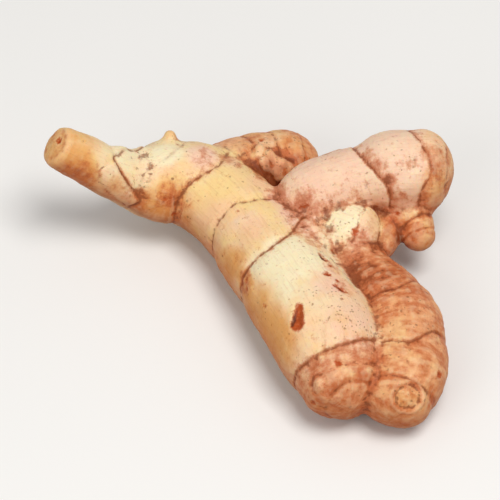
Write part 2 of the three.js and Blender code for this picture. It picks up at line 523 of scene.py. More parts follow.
class Mark(NamedTuple):
    """A scar, pit or swelling in the skin."""

    limb: str
    deep: float  # how deep it is, below 0 for a swelling
    scar: float  # how strong its colour is as a scar (orange to brown)
    pit: float  # how strong its colour is as a pit (nearly black)
    spots: list  # one or two places on the limb, as (distance, angle, radius)


MARKS = [
    Mark("finger", 0.6, 0.9, 0.6, [(-3.3, 100, 0.8)]),
    Mark("finger", 0.25, 0.3, 0.8, [(3.4, 97, 0.45)]),
    Mark("eye", 0.4, 0.5, 0.0, [(10.8, 90, 1.2), (10.8, 40, 1.6)]),
    Mark("finger", 0.5, 0.7, 0.9, [(43.4, -178, 0.7)]),
    Mark("finger", 0.2, 0.5, 0.6, [(76.9, 113, 0.4)]),
    Mark("finger", 1.1, 1.0, 0.1, [(124.2, 116, 1.0), (129.4, 127, 2.1)]),
    Mark("finger", 0.3, 0.5, 0.9, [(123.8, 117, 0.6), (128.6, 133, 0.9)]),
    Mark("finger", 0.9, 0.6, 1.0, [(106.0, 55, 0.8), (109.0, 57, 1.1)]),
    Mark("finger", 0.6, 0.9, 0.7, [(116.0, 67, 1.0)]),
    Mark("finger", 0.6, 0.8, 0.8, [(121.4, 67, 0.6), (124.0, 62, 0.9)]),
    Mark("finger", 0.4, 0.7, 0.5, [(112.0, 55, 0.6)]),
    Mark("finger", 0.3, 0.7, 0.5, [(119.0, 60, 0.5)]),
    Mark("finger", 0.3, 0.6, 0.6, [(126.8, 70, 0.5)]),
    Mark("finger", 0.35, 0.8, 0.5, [(114.3, 149, 0.5)]),
    Mark("finger", 0.25, 0.5, 0.2, [(105.7, 150, 0.4)]),
    Mark("finger", 0.2, 0.3, 0.1, [(108.3, 135, 0.35)]),
    Mark("finger", 0.3, 0.7, 0.5, [(99.2, 162, 0.6)]),
    Mark("finger", 0.3, 0.6, 0.5, [(100.6, 152, 0.7)]),
    Mark("finger", 0.3, 0.6, 0.4, [(102.8, 158, 0.5)]),
    Mark("branch", 0.6, 0.6, 1.0, [(13.6, 140, 0.5), (15.6, 146, 0.45)]),
    Mark("lump", 0.4, 1.0, 0.1, [(13.6, 128, 0.7)]),
    Mark("lobe", 0.6, 0.6, 0.1, [(18.3, 82, 1.0)]),
    Mark("bud", 0.4, 0.6, 0.7, [(5.0, 136, 0.6)]),
    Mark("spur", 0.1, 0.5, 1.0, [(4.9, 170, 0.9)]),
    Mark("finger", 0.5, 0.9, 0.2, [(33.0, -60, 1.5)]),
    Mark("finger", 0.4, 0.8, 0.4, [(64.0, -20, 1.1)]),
    Mark("finger", 0.5, 0.9, 0.4, [(86.0, -40, 1.4)]),
    Mark("finger", 0.4, 0.9, 0.5, [(88.0, -150, 1.0)]),
    Mark("finger", 0.4, 0.9, 0.4, [(112.0, -130, 1.2)]),
    Mark("branch", 0.4, 0.7, 0.3, [(26.0, -20, 1.2)]),
    Mark("branch", 0.5, 0.8, 0.2, [(45.0, 10, 1.6)]),
    Mark("branch", 0.5, 0.7, 0.2, [(61.0, 20, 1.4)]),
    Mark("mother", 0.5, 0.9, 0.5, [(36.0, 10, 1.5)]),
    Mark("mother", 0.4, 0.7, 0.6, [(56.0, 30, 1.0)]),
    Mark("lobe", 0.6, 0.8, 0.4, [(32.0, 20, 1.6)]),
    Mark("finger", -1.1, 0.2, 0.0, [(149.0, 140, 2.6)]),
    Mark("finger", -1.4, 0.0, 0.0, [(19.0, 68, 3.5), (29.0, 56, 3.5)]),
    Mark("finger", 0.5, 0.8, 0.4, [(146.0, 100, 0.8)]),
    Mark("finger", 0.5, 0.8, 0.3, [(151.0, 175, 0.9)]),
]
MARK_CRUMBLE = 0.35  # how far a mark's outline crumbles
MARK_WANDER = 0.6  # how far it wanders
MARK_SIDE = 0.8  # the least width of its sloping side
MARK_FOOT = 0.5  # how far outside its outline the slope starts
MARK_RIM = 0.07  # the height of the rim round it, as a share of its depth
MARK_RIM_AT = 0.8  # how far outside its outline the rim stands
MARK_RIM_WIDTH = 0.5
SCAR_FADE = (-0.7, 1.4)  # from where to where, outside its outline, a mark's colour as a scar fades
PIT_FADE = (-1.0, 0.4)  # the same for its colour as a pit

# Where other limbs were broken away: limb, distance, angle and radius of each corky round scar.
STUMPS = [("mother", 67.0, 60, 5.2)]
STUMP_DEPTH = 0.5
STUMP_CRUMBLE = 0.25  # how rough its middle is
STUMP_WANDER = 0.8  # how far its rim wanders
STUMP_SIDE = (-1.6, -0.2)  # from where to where, outwards from the rim's line, its side rises
STUMP_RIM = 0.45
STUMP_RIM_WIDTH = 0.6
STUMP_LINE_IN = 0.9  # how far inside the rim its brown line runs
STUMP_TONES = {"russet": -0.35, "amber": 0.1, "pink": 0.2}
STUMP_LINE_TONES = {"mottle": 0.35}
STUMP_FRECKLE = 0.6

# How the shreds of old sheath differ from the skin between them: paler, pinker and smoother.
SHRED_TONES = {"pink": 0.45, "russet": -0.35, "mottle": -0.4, "amber": 0.1}
SHRED_SMOOTHING = 0.6


def mark_distance(mark, points):
    """How far each point lies outside the mark, below 0 inside it."""
    limb = LIMBS[mark.limb]
    spots = [(limb.place(along, angle), radius) for along, angle, radius in mark.spots]
    if len(spots) == 1:
        centre, radius = spots[0]
        return np.linalg.norm(points - centre, axis=1) - radius
    (start, first), (stop, last) = spots
    span = stop - start
    t = np.clip((points - start) @ span / (span @ span), 0, 1)
    nearest = start + t[:, None] * span
    return np.linalg.norm(points - nearest, axis=1) - (first + t * (last - first))


# What colours the skin along each limb: (distance, pink, russet, cream, amber, mottle), from 0 to 1.
TONES = {
    "finger": [
        (-4, 0.1, 0.2, 0.0, 0.6, 0.45), (-1.5, 0.1, 0.2, 0.0, 0.6, 0.4), (0, 0.0, 0.0, 0.2, 0.7, 0.25),
        (6, 0.0, 0.0, 0.3, 0.5, 0.2), (12, 0.0, 0.0, 0.5, 0.1, 0.15), (34, 0.1, 0.0, 0.6, 0.0, 0.15),
        (50, 0.3, 0.0, 0.35, 0.0, 0.35), (60, 0.0, 0.0, 0.1, 0.1, 0.12), (74, 0.1, 0.0, 0.1, 0.1, 0.12),
        (80, 0.4, 0.0, 0.2, 0.0, 0.1), (94, 0.3, 0.0, 0.1, 0.1, 0.25), (99, 0.0, 0.0, 0.9, 0.0, 0.12),
        (114, 0.1, 0.0, 0.8, 0.0, 0.12), (124, 0.4, 0.0, 0.45, 0.15, 0.15),
        (139, 0.5, 0.05, 0.25, 0.2, 0.3), (143, 0.5, 0.5, 0.0, 0.1, 0.55), (152, 0.3, 0.8, 0.0, 0.1, 0.6),
    ],
    "branch": [
        (10, 0.5, 0.1, 0.3, 0.1, 0.5), (20, 0.9, 0.05, 0.2, 0.0, 0.3), (33, 0.95, 0.0, 0.3, 0.0, 0.25),
        (42, 0.9, 0.1, 0.3, 0.0, 0.35), (50, 0.8, 0.05, 0.35, 0.1, 0.3), (54, 0.6, 0.1, 0.1, 0.4, 0.4),
        (64, 0.5, 0.1, 0.1, 0.5, 0.4),
    ],
    "lobe": [
        (0, 0.4, 0.3, 0.0, 0.2, 0.3), (8, 0.3, 0.65, 0.0, 0.35, 0.35), (14, 0.3, 0.55, 0.0, 0.5, 0.35),
        (24, 0.3, 0.6, 0.0, 0.55, 0.3), (34, 0.2, 0.7, 0.0, 0.5, 0.4),
    ],
    "mother": [
        (0, 0.4, 0.5, 0.0, 0.2, 0.65), (20, 0.3, 1.0, 0.0, 0.1, 0.85), (45, 0.4, 0.8, 0.0, 0.5, 0.5),
        (62, 0.4, 0.65, 0.0, 0.5, 0.5),
    ],
    "collar": [(0, 0.3, 0.6, 0.0, 0.2, 0.65)],
    "lump": [
        (0, 0.5, 0.1, 0.5, 0.0, 0.3), (6, 0.0, 0.0, 1.0, 0.0, 0.2), (12, 0.0, 0.0, 1.0, 0.0, 0.25),
        (18, 0.1, 0.0, 0.8, 0.1, 0.4),
    ],
    "bud": [(0, 0.8, 0.2, 0.3, 0.0, 0.45), (9, 0.3, 0.5, 0.0, 0.5, 0.4), (16, 0.1, 0.6, 0.0, 0.7, 0.5)],
    "eye": [(0, 0.0, 0.0, 0.4, 0.1, 0.15)],
    "spur": [(0, 0.0, 0.0, 0.4, 0.3, 0.1), (5, 0.0, 0.0, 0.3, 0.6, 0.2)],
}
TONE_NAMES = ("pink", "russet", "cream", "amber", "mottle")

# Soft patches of colour: limb, distance, angle, radius, and how much each tone changes there.
PATCHES = [
    ("finger", 51.0, 84, 5.0, {"pink": 0.7, "mottle": 0.3, "cream": -0.2}),
    ("finger", 38.0, 92, 4.5, {"cream": 0.6}),
    ("finger", 40.0, 132, 6.0, {"cream": -0.4, "amber": 0.15}),
    ("finger", 5.0, 178, 6.0, {"amber": 0.5, "mottle": 0.4, "cream": -0.5}),
    ("finger", 9.0, -155, 7.0, {"amber": 0.6, "mottle": 0.5, "russet": 0.3}),
    ("finger", 22.0, -170, 5.0, {"mottle": 0.4}),
    ("finger", 19.5, 168, 4.0, {"amber": 0.4, "mottle": 0.12, "pink": -0.3}),
    ("finger", 20.0, 60, 6.0, {"pink": 0.4, "cream": 0.2}),
    # Partly painted shade: amber on the finger's lower side that faces the camera, darker and warmer where
    # the light falls off, as well as the skin's own amber.
    ("finger", 40.0, 170, 8.0, {"amber": 0.6, "mottle": 0.2, "cream": -0.4}),
    ("finger", 30.0, 178, 5.0, {"amber": 0.5, "mottle": 0.25}),
    ("eye", 10.8, 50, 4.2, {"amber": 0.7, "russet": 0.5, "mottle": 0.55}),
    ("finger", 66.3, 42, 4.5, {"mottle": 0.6, "russet": 0.3}),
    ("finger", 58.0, 58, 4.0, {"mottle": 0.5, "pink": 0.3}),
    ("finger", 76.0, 50, 5.0, {"mottle": 0.4, "pink": 0.4}),
    ("lobe", 12.0, 128, 5.0, {"mottle": 0.6}),
    ("lobe", 20.0, 128, 6.0, {"mottle": 0.4, "russet": 0.3}),
    ("lobe", 22.5, 121, 4.5, {"mottle": 0.4, "russet": 0.3}),
    ("lobe", 21.4, 84, 4.0, {"mottle": -0.4, "russet": -0.3, "pink": 0.4}),
    ("lobe", 21.0, 142, 5.0, {"mottle": 0.7}),
    ("lobe", 27.5, 128, 3.0, {"mottle": 0.7}),
    ("lobe", 30.0, 100, 5.0, {"amber": 0.5}),
    ("branch", 16.0, 125, 3.5, {"mottle": 0.5}),
    ("branch", 18.0, 160, 3.5, {"mottle": 0.45}),
    ("branch", 38.5, 95, 3.0, {"mottle": 0.35}),
    ("branch", 41.0, 118, 2.6, {"mottle": 0.4}),
    ("branch", 42.4, 143, 2.0, {"mottle": 0.75}),
    ("branch", 43.4, 165, 3.0, {"mottle": 0.5, "russet": 0.2}),
    ("branch", 47.5, 120, 3.5, {"mottle": 0.2}),
    ("branch", 28.0, 150, 5.0, {"mottle": 0.2}),
    ("branch", 56.0, 155, 4.5, {"mottle": 0.25, "amber": 0.3}),
    ("branch", 57.0, 115, 6.0, {"mottle": 0.35, "russet": 0.35}),
    ("finger", 88.0, 50, 6.0, {"mottle": 0.32, "pink": 0.5}),
    ("finger", 100.0, 52, 5.5, {"mottle": 0.4, "pink": 0.5, "cream": -0.4}),
    ("finger", 112.0, 52, 4.5, {"mottle": 0.5, "pink": 0.3, "cream": -0.4}),
    ("finger", 122.0, 56, 5.0, {"mottle": 0.45, "cream": -0.3}),
    ("finger", 118.0, 75, 7.0, {"pink": 0.45, "cream": -0.3}),
    ("finger", 134.0, 70, 8.0, {"pink": 0.4, "amber": 0.2}),
    # Partly painted shade: the next three patches make the finger's lower side that faces the camera amber
    # and less cream, darker and warmer where the light falls off, as well as the skin's own amber.
    ("finger", 112.0, 172, 12.0, {"amber": 0.75, "cream": -0.6, "mottle": 0.1}),
    ("finger", 128.0, 160, 9.0, {"amber": 0.6, "cream": -0.4}),
    ("finger", 86.0, 178, 9.0, {"amber": 0.6}),
    ("finger", 100.5, 158, 4.5, {"amber": 0.6, "mottle": 0.5, "cream": -0.4}),
    ("finger", 93.0, 150, 5.0, {"amber": 0.5, "mottle": 0.2}),
    ("bud", 14.0, 145, 4.5, {"russet": 0.6, "amber": 0.2, "mottle": 0.3}),
    ("bud", 11.0, -160, 6.0, {"russet": 0.6, "amber": 0.2, "mottle": 0.5}),
    ("lump", 15.0, 135, 4.0, {"mottle": 0.3, "cream": -0.4, "pink": 0.3}),
    ("lump", 4.0, 165, 5.0, {"pink": 0.2}),
    ("mother", 8.0, 120, 6.0, {"pink": 0.3, "mottle": 0.2}),
    ("mother", 15.0, 114, 5.0, {"mottle": 0.35}),
    ("mother", 20.0, 92, 6.0, {"mottle": 0.25}),
    ("mother", 48.0, 112, 6.0, {"mottle": -0.4, "russet": -0.4, "cream": 0.3}),
]

# Places with many small brown dots: limb, distance, angle, radius, and how many.
FRECKLES = [
    ("finger", 133.0, 68, 7.5, 1.0),
    ("finger", 126.0, 88, 6.0, 0.6),
    ("finger", 104.0, 62, 5.0, 0.6),
    ("finger", 88.0, 60, 5.0, 0.5),
    ("lump", 12.0, 150, 5.0, 0.8),
    ("lump", 2.0, 150, 7.0, 0.5),
    ("mother", 24.0, 100, 9.0, 0.5),
    ("mother", 45.0, 80, 12.0, 0.35),
    ("lobe", 20.0, 110, 12.0, 0.5),
    ("branch", 45.0, 120, 8.0, 0.15),
]

# Places where the skin is lumpy: limb, distance, angle, radius, and how much.
LUMPY = [
    ("lump", 0.0, 150, 8.0, 0.8),
    ("lump", 8.0, 120, 9.0, 0.6),
    ("lump", 14.0, 120, 6.0, 0.5),
    ("branch", 15.0, 120, 6.0, 0.5),
    ("branch", 44.0, 120, 9.0, 0.5),
    ("branch", 58.0, 120, 9.0, 0.5),
    ("finger", 90.0, 55, 7.0, 0.6),
    ("lobe", 20.0, 115, 13.0, 0.6),
    ("bud", 8.0, 100, 8.0, 0.4),
    ("mother", 12.0, 110, 10.0, 0.6),
]

# The skin's unevenness, as layers of noise: whether each is laid in space or along the unrolled skin, its
# size and seed, its height everywhere, and what russet skin and lumpy places add to that.
UNEVENNESS = [
    ("space", 12.0, 1, 0.5, 0.0, 0.0),
    ("space", 5.0, 2, 0.25, 0.2, 0.45),
    ("space", 2.2, 5, 0.06, 0.16, 0.15),
    ("skin", (5.0, 5.0, 1.3), 7, 0.06, 0.08, 0.0),
    ("skin", (1.5, 1.5, 9.0), 8, 0.08, 0.0, 0.0),
]

# Noises, each with its amount, size and seed: how lines wander, and how tones drift along a limb.
WANDER = [(0.4, 6.0, 3), (0.15, 1.9, 4)]
TONE_DRIFT = [(1.5, 4.0, 6)]
CRUMBLE = (1.3, 10)  # the size and seed of the noise that crumbles scars
BREAKS = (2.8, 12)  # the size and seed of the noise that breaks up grooves and lines
BREAK_SLOPE = (-0.45, 0.3)  # from where to where in that noise they come up
BREAK_LEAST = 0.2  # what is left of them in the breaks
TONE_LIMIT = 1.2  # the most that a tone can add up to

# The blunt tip of the finger, where an older stem came away: a shallow dish with a rim.
DISH_RADIUS = 6.0
DISH_DEPTH = 0.5
DISH_SIDE = 2.5  # the width of its sloping side
DISH_END = 1.5  # how far past the limb's last section it is fully felt
DISH_WANDER = 0.4  # how far its outline wanders
DISH_RIM = 0.3
DISH_RIM_WIDTH = 0.6
DISH_LINE_IN = 1.0  # how far inside the rim its brown line runs
DISH_MOTTLE = 0.35

# How far each scale of hollow is felt, as rounds of averaging over neighbours, and its full depth.
HOLLOW_SCALES = {"hollow_fine": (5, 0.1), "hollow_broad": (45, 0.55)}


class Dressing:
    """The skin's relief and the numbers that its material reads, gathered step by step."""

    def __init__(self, points, shreds):
        self.points = points
        self.surface = Surface(points, shreds)
        self.count = len(points)
        self.relief = np.zeros(self.count)
        self.tones = {tone: np.zeros(self.count) for tone in TONE_NAMES}
        self.lay = np.zeros((self.count, 3))
        self.wander = layered(points, WANDER)
        self.crumble = grain(points, *CRUMBLE)
        self.broken = BREAK_LEAST + (1 - BREAK_LEAST) * smooth_step(grain(points, *BREAKS), *BREAK_SLOPE)

    def change_tones(self, changes, share):
        """Each tone changed by its amount times the share."""
        for tone, change in changes.items():
            self.tones[tone] += change * share

    def unroll(self):
        """Each point's place on its own limb as if that limb were straight, for noises that run along it."""
        for i, part in enumerate(self.surface.parts.values()):
            turn = np.radians(part["angle"])
            across = part["radius"] * np.cos(turn)
            over = part["radius"] * np.sin(turn)
            unrolled = np.stack([across, over, part["along"]], 1)
            self.lay = np.where((self.surface.owner == i)[:, None], unrolled, self.lay)

    def add_tones(self):
        """The tones of each limb, shared where limbs meet, and the patches."""
        surface = self.surface
        weight = sum(surface.share.values())
        drift = layered(self.points, TONE_DRIFT)
        for name, stops in TONES.items():
            stops = np.array(stops)
            along = surface.parts[name]["along"] + drift
            for j, tone in enumerate(TONE_NAMES):
                level = np.interp(along, stops[:, 0], stops[:, 1 + j])
                self.tones[tone] += surface.share[name] / weight * level
        for *spot, changes in PATCHES:
            self.change_tones(changes, near(self.points, *spot))

    def add_lumps(self):
        """Unevenness at several sizes, more of it on the russet and the lumpy places."""
        rugged = self.tones["russet"].clip(0, 1)
        lumpy = sum(amount * near(self.points, *spot) for *spot, amount in LUMPY)
        grounds = {"space": self.points, "skin": self.lay}
        for ground, size, seed, even, on_russet, on_lumpy in UNEVENNESS:
            deep = even + on_russet * rugged + on_lumpy * lumpy
            self.relief += deep * grain(grounds[ground], size, seed)

    def add_dish(self):
        """The dished scar on the finger's blunt tip, with a brown line inside its rim."""
        finger = LIMBS["finger"]
        offset = self.points - finger.centre[0]
        behind = -(offset @ finger.tangent[0])
        off_axis = np.sqrt(((offset + behind[:, None] * finger.tangent[0]) ** 2).sum(1))
        off_axis += DISH_WANDER * self.wander
        end = smooth_step(behind, 0.0, DISH_END)
        self.relief -= DISH_DEPTH * end * (1 - smooth_step(off_axis, DISH_RADIUS - DISH_SIDE, DISH_RADIUS))
        rim = end * band(off_axis - DISH_RADIUS, DISH_RIM_WIDTH)
        self.relief += DISH_RIM * rim
        line = end * band(off_axis - DISH_RADIUS + DISH_LINE_IN, DISH_RIM_WIDTH)
        self.tones["mottle"] += DISH_MOTTLE * line

    def add_rings(self):
        """The rings at the nodes, and the wrinkles and mottling beside them."""
        surface = self.surface
        self.past_ring = np.full(self.count, RING_REACH)
        self.ink = np.zeros(self.count)
        wrinkles = grain(self.lay, WRINKLE_SIZE, WRINKLE_SEED)
        for ring in RINGS:
            clear = surface.clear[ring.limb]
            past = past_line(ring.line, surface.parts[ring.limb]) + self.wander
            self.relief += clear * ring_relief(ring, past, self.broken)
            self.relief += clear * WRINKLE_DEPTH * wrinkles * band(past, WRINKLE_REACH)
            close = (np.abs(past) < np.minimum(np.abs(self.past_ring), RING_REACH)) & (clear > 0)
            self.past_ring = np.where(close, past, self.past_ring)
            self.ink = np.where(close, ring.ink * clear, self.ink)
            bare_side = -past * np.sign(ring.lip)
            fall = np.exp(-np.clip(bare_side, 0, None) / BESIDE_FALL)
            beside = fall * smooth_step(bare_side, *BESIDE_START)
            self.tones["mottle"] += clear * ring.mottle * beside
        self.ink *= self.broken * (1 - smooth_step(np.abs(self.past_ring), INK_FADE, RING_REACH))

    def add_sheaths(self):
        """Pieces of old sheath, a little thicker than the skin and browned along their edges."""
        for sheath in SHEATHS:
            part = self.surface.parts[sheath.limb]
            clear = self.surface.clear[sheath.limb]
            past_start = past_line(sheath.start, part)
            before_stop = -past_line(sheath.stop, part)
            inside = np.minimum(past_start, before_stop) + sheath.ragged * self.wander
            cover = smooth_step(inside, *SHEATH_RISE) * clear
            self.relief += sheath.thick * cover
            edge = band(inside + SHEATH_EDGE_AT, SHEATH_EDGE_WIDTH) * clear
            self.tones["mottle"] += sheath.edge * self.broken * edge
            self.change_tones(sheath.tones, cover)

    def add_marks(self):
        """Scars, pits and swellings."""
        self.scar = np.zeros(self.count)
        self.pit = np.zeros(self.count)
        for mark in MARKS:
            widest = max(radius for *_, radius in mark.spots)
            outside = mark_distance(mark, self.points) + MARK_CRUMBLE * self.crumble
            outside += MARK_WANDER * self.wander
            self.relief -= mark.deep * (1 - smooth_step(outside, -max(MARK_SIDE, widest), MARK_FOOT))
            self.relief += MARK_RIM * mark.deep * band(outside - MARK_RIM_AT, MARK_RIM_WIDTH)
            self.scar = np.maximum(self.scar, mark.scar * (1 - smooth_step(outside, *SCAR_FADE)))
            self.pit = np.maximum(self.pit, mark.pit * (1 - smooth_step(outside, *PIT_FADE)))

    def add_freckles(self):
        """How thick the small brown dots are."""
        self.freckle = np.zeros(self.count)
        for *spot, amount in FRECKLES:
            self.freckle = np.maximum(self.freckle, amount * near(self.points, *spot))

    def add_stumps(self):
        """Round corky scars, a little sunken, with a raised brown rim."""
        for name, along, angle, radius in STUMPS:
            centre = LIMBS[name].place(along, angle)
            from_rim = np.linalg.norm(self.points - centre, axis=1) - radius
            from_rim += STUMP_WANDER * self.wander
            inside = 1 - smooth_step(from_rim, *STUMP_SIDE)
            rim = band(from_rim, STUMP_RIM_WIDTH)
            self.relief += STUMP_RIM * rim - (STUMP_DEPTH + STUMP_CRUMBLE * self.crumble) * inside
            self.change_tones(STUMP_TONES, inside)
            self.change_tones(STUMP_LINE_TONES, band(from_rim + STUMP_LINE_IN, STUMP_RIM_WIDTH))
            self.freckle = np.maximum(self.freckle, STUMP_FRECKLE * inside)

    def add_shreds(self):
        """The shreds of old sheath, paler and smoother than the skin between them."""
        self.change_tones(SHRED_TONES, self.surface.on_shred)
        self.relief *= 1 - SHRED_SMOOTHING * self.surface.on_shred

    def moved(self):
        """The points with the relief on them, still above the table."""
        points = self.points + self.relief[:, None] * self.surface.out
        points[:, 2] = np.maximum(points[:, 2], 0)
        return points

    def numbers(self):
        """The numbers for the material, by name."""
        tones = {tone: level.clip(0, TONE_LIMIT) for tone, level in self.tones.items()}
        return {
            "past_ring": self.past_ring,
            "ink": self.ink,
            "scar": self.scar,
            "pit": self.pit,
            "freckle": self.freckle,
            "crease": self.surface.crease,
            "below": -self.surface.out[:, 2],
            **tones,
        }


def dress(points, shreds):
    """The dressed points, the way out at each, the numbers for the material and the unrolled places."""
    dressing = Dressing(points, shreds)
    dressing.unroll()
    dressing.add_tones()
    dressing.add_lumps()
    dressing.add_dish()
    dressing.add_rings()
    dressing.add_sheaths()
    dressing.add_marks()
    dressing.add_freckles()
    dressing.add_stumps()
    dressing.add_shreds()
    return dressing.moved(), dressing.surface.out, dressing.numbers(), dressing.lay


def hollows(mesh, points, out):
    """How far each point lies in a hollow, above 0, or on a rise, below 0, by its neighbours' mean."""
    edges = np.empty(2 * len(mesh.edges), np.int32)
    mesh.edges.foreach_get("vertices", edges)
    a, b = edges.reshape(-1, 2).T
    ends, others = np.concatenate([a, b]), np.concatenate([b, a])
    degree = np.bincount(ends, minlength=len(points))
    smoothed = points.copy()
    found = {}
    done = 0
    for name, (rounds, full) in HOLLOW_SCALES.items():
        for _ in range(rounds - done):
            smoothed = np.stack(
                [np.bincount(ends, smoothed[others, i], len(points)) / degree for i in range(3)], 1
            )
        done = rounds
        found[name] = (((smoothed - points) * out).sum(1) / full).clip(-1, 1)
    return found


def write_mesh(mesh, points, numbers, lay):
    """The points and the numbers for the material, put on the mesh."""
    mesh.vertices.foreach_set("co", (points * MM).astype(np.float32).ravel())
    for name, values in numbers.items():
        attribute = mesh.attributes.new(name, "FLOAT", "POINT")
        attribute.data.foreach_set("value", values.astype(np.float32))
    attribute = mesh.attributes.new("lay", "FLOAT_VECTOR", "POINT")
    attribute.data.foreach_set("vector", lay.astype(np.float32).ravel())
    mesh.polygons.foreach_set("use_smooth", np.ones(len(mesh.polygons), bool))
    mesh.update()


def linear(code):
    """A colour written as a hex code, as the linear values that a shader takes."""
    shares = [int(code[i : i + 2], 16) / 255 for i in (0, 2, 4)]
    return [*(s / 12.92 if s <= 0.04045 else ((s + 0.055) / 1.055) ** 2.4 for s in shares), 1.0]


NOISE_SEED_WAY = (1.0, 0.7, 1.3)  # the way that a seed moves a noise


class Nodes:
    """Short names for the nodes that a material or a world is built from."""

    def __init__(self, owner):
        owner.use_nodes = True
        self.tree = owner.node_tree
        self.tree.nodes.clear()

    def add(self, kind, settings=(), **inputs):
        """A node with its settings and inputs, where an input such as i0 is named by its number."""
        made = self.tree.nodes.new(kind)
        for name, value in dict(settings).items():
            setattr(made, name, value)
        for name, value in inputs.items():
            numbered = name[0] == "i" and name[1:].isdigit()
            key = int(name[1:]) if numbered else name.replace("_", " ")
            self.put(made.inputs[key], value)
        return made

    def put(self, socket, value):
        """Another node's output, or a plain value, on a socket."""
        if isinstance(value, bpy.types.NodeSocket):
            self.tree.links.new(value, socket)
        else:
            socket.default_value = value

    def show(self, kind, shader):
        """The output node of that kind, showing the shader."""
        self.add(kind, Surface=shader.outputs[0])

    def value(self, name):
        """A number on the mesh."""
        return self.add("ShaderNodeAttribute", {"attribute_name": name}).outputs["Fac"]

    def vector(self, name):
        """A vector on the mesh."""
        return self.add("ShaderNodeAttribute", {"attribute_name": name}).outputs["Vector"]

    def math(self, operation, a, b=0.0):
        """One step of arithmetic."""
        return self.add("ShaderNodeMath", {"operation": operation}, i0=a, i1=b).outputs[0]

    def scaled(self, value, share):
        """The value times the share."""
        return self.math("MULTIPLY", value, share)

    def slope(self, value, low, high):
        """0 at low, 1 at high, softly between."""
        soft = {"interpolation_type": "SMOOTHSTEP"}
        made = self.add("ShaderNodeMapRange", soft, Value=value, From_Min=low, From_Max=high)
        return made.outputs["Result"]

    def falling(self, value, low, high):
        """1 at low, 0 at high, softly between."""
        return self.math("SUBTRACT", 1.0, self.slope(value, low, high))

    def mix(self, share, a, b):
        """Colour a, turning to colour b as the share rises to 1."""
        return self.add("ShaderNodeMix", {"data_type": "RGBA"}, i0=share, i6=a, i7=b).outputs[2]

    def stretch(self, vector, scale):
        """The vector times the scale, one number for each direction."""
        return self.add("ShaderNodeVectorMath", {"operation": "MULTIPLY"}, i0=vector, i1=scale).outputs[0]

    def shift(self, vector, step):
        """The vector moved by the step."""
        return self.add("ShaderNodeVectorMath", {"operation": "ADD"}, i0=vector, i1=step).outputs[0]

    def noise(self, vector, size, detail, rough, seed):
        """Noise with lumps of that size, lying about 0."""
        moved = self.shift(vector, [seed * way for way in NOISE_SEED_WAY])
        made = self.add("ShaderNodeTexNoise", Vector=moved, Scale=1 / size, Detail=detail, Roughness=rough)
        return self.math("SUBTRACT", made.outputs["Fac"], 0.5)

    def seen(self):
        """1 where the camera looks, straight or by reflection or through glass, and 0 for other light."""
        path = self.add("ShaderNodeLightPath")
        looked = self.math("MAXIMUM", path.outputs["Is Camera Ray"], path.outputs["Is Glossy Ray"])
        return self.math("MAXIMUM", looked, path.outputs["Is Transmission Ray"])


STRAW = linear("f6d494")
PEACH = linear("f7ca9c")
CREAM = linear("f8e9c2")
PINK = linear("f5ccb0")
AMBER = linear("e8ab66")
RUSSET_LIGHT = linear("e59d6c")
RUSSET = linear("c76b3a")
SIENNA = linear("b45e33")
# the orange of the painted shade on the lower sides
PAINTED_SHADE_ORANGE = linear("c76422")
UMBER = linear("74320f")
INK = linear("86502a")
SCAR = linear("b4480c")
PIT = linear("481e0c")
DOT = linear("8a5530")

# The skin's noises: whether each is laid in space or along the unrolled skin, how that is stretched, and
# its size, detail, roughness and seed.
NOISES = {
    "broad": ("space", (1.0, 1.0, 1.0), 12.0, 1.0, 0.5, 8.0),
    "patchy": ("space", (1.0, 1.0, 1.0), 5.5, 4.0, 0.62, 0.0),
    "blotch": ("space", (1.0, 1.0, 1.0), 3.0, 5.0, 0.68, 21.0),
    "banded": ("skin", (0.45, 0.45, 1.5), 2.4, 3.0, 0.6, 14.0),
    "fine": ("space", (1.0, 1.0, 1.0), 1.1, 3.0, 0.65, 3.0),
    "fibres": ("skin", (1.0, 1.0, 0.09), 0.7, 3.0, 0.6, 5.0),
}
MESH_NUMBERS = ("past_ring", "ink", "scar", "pit", "freckle", "crease", "below", *TONE_NAMES, *HOLLOW_SCALES)

# The layers of the skin's colour: what each is made of, as shares of the noises and of the numbers on the
# mesh, and then its tints: from where to where each comes up, how strongly, and its colour.
PEACH_SLOPE = (-0.15, 0.15)  # from where to where in the broad noise straw turns to peach
TONE_SLOPE = (0.14, 0.86)
TONE_LAYERS = [
    ({"pink": 1.0, "patchy": 0.9}, [(*TONE_SLOPE, 1.0, PINK)]),
    ({"cream": 1.0, "patchy": 0.9}, [(*TONE_SLOPE, 1.0, CREAM)]),
    ({"amber": 1.0, "patchy": 0.9}, [(*TONE_SLOPE, 1.0, AMBER)]),
]
RUST_PARTS = {"banded": 0.9, "patchy": 1.2}
RUST_SLOPE = (-0.2, 0.25)  # from where to where light russet turns to russet
RUSSET_PARTS = {"russet": 1.0, "patchy": 1.1}
RUSSET_SHARE = 0.85
# Painted shade: the sides turn orange and then umber as they face further down, standing in for shade and
# for warm light bounced between neighbours.
PAINTED_SHADE_LAYERS = [
    ({"below": 1.0, "patchy": 0.5}, [(-0.6, 0.4, 0.75, PAINTED_SHADE_ORANGE), (0.0, 1.0, 0.8, UMBER)]),
]
UNDERSIDE_SLOPE = (0.35, 0.8)  # from where to where, facing down, the two tints of painted shade fade again
UNDERSIDE_FADE = 0.85
